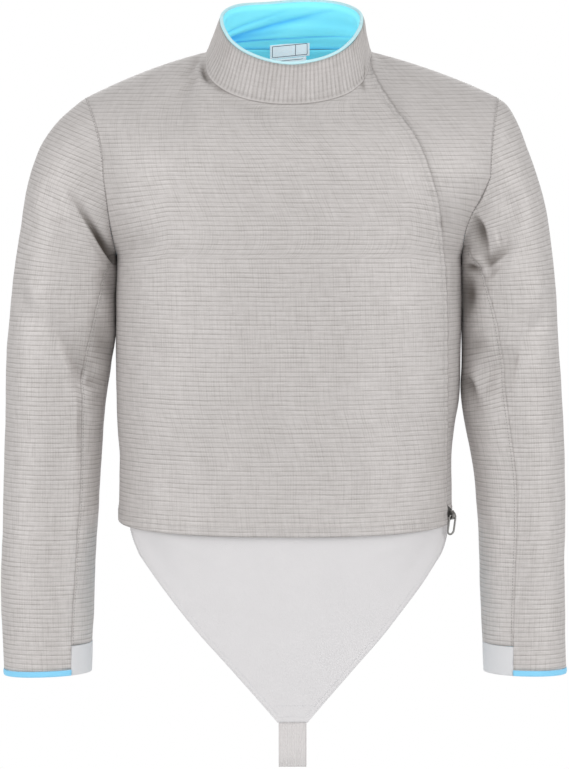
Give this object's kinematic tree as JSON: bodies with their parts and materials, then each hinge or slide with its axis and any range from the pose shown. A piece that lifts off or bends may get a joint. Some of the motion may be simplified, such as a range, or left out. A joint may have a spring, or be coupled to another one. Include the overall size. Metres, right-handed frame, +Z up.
{
  "type": "fencing lame jacket",
  "caption": "Sabre fencer's electric jacket of metallic cloth, filled out as worn: ribbed stand collar, two-piece sleeves, lapped left closure, white apron, crotch strap and zip ring pull.",
  "frame": {"origin": "the middle of the neck at the height where the shoulder seams meet the collar, where the wearer's neck and shoulders hold the jacket up", "axes": "+Z up along the body; +X towards the wearer's left, the side of the closure; the front faces -Y"},
  "size_m": [0.679, 0.259, 0.9217],
  "materials": {
    "lame": "fine metallic weave with darker cross lines, low sheen",
    "lining": "sky-blue lining cloth, soft",
    "trim": "pale blue binding, matt",
    "white_cloth": "white cloth, matt",
    "elastic": "woven elastic, matt",
    "tape": "dark woven zip tape",
    "metal": "grey plated metal",
    "label": "white woven label"
  },
  "bodies": {
    "jacket": {"front_panel": "lame", "side_front_panel": "lame", "back_panel": "lame", "collar": "lame", "collar_lining": "lining", "collar_piping": "trim", "back_lining": "lining", "sleeve_right_top": "lame", "sleeve_right_under": "lame", "cuff_trim_right": "trim", "cuff_patch_right": "white_cloth", "sleeve_left_top": "lame", "sleeve_left_under": "lame", "cuff_trim_left": "trim", "cuff_patch_left": "white_cloth", "apron": "white_cloth", "strap": "elastic", "zip_tape": "tape", "zip_slider": "metal", "size_label": "label", "care_label": "label"},
    "ring": {"pull_ring": "metal"}
  },
  "joints": [
    {"name": "ring_swing", "type": "hinge", "parent": "jacket", "child": "ring", "pos_m": [0.1953, -0.03513, -0.553], "axis": [-0.7884, -0.6152, 0], "range_deg": [0, 150]}
  ]
}
